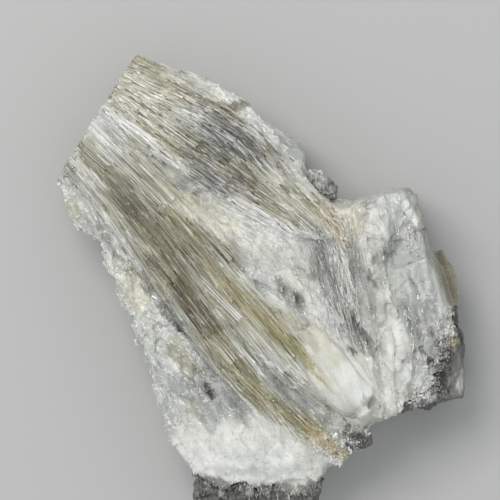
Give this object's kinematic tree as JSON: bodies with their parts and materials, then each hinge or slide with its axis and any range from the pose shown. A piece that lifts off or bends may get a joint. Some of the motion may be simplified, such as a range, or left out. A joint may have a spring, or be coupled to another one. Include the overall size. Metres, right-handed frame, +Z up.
{
  "type": "mineral specimen",
  "caption": "Slab-like mineral specimen of fanned fibrous crystal sheaves in white masses, with dark clay along two edges, lying on its back.",
  "frame": {"origin": "on the table, under the middle of the specimen's bounding box", "axes": "+Z up, out of the display face; +Y towards the specimen's upper end, along its longest extent; +X to the right as the display face is seen"},
  "size_m": [0.0974, 0.1106, 0.0358],
  "materials": {
    "crystal": "silky",
    "clay": "matte"
  },
  "bodies": {
    "root": {"crystal_mass": "crystal", "clay_base": "clay", "clay_rim": "clay", "clay_chip_upper": "clay", "clay_chip_lower": "clay"}
  },
  "joints": []
}
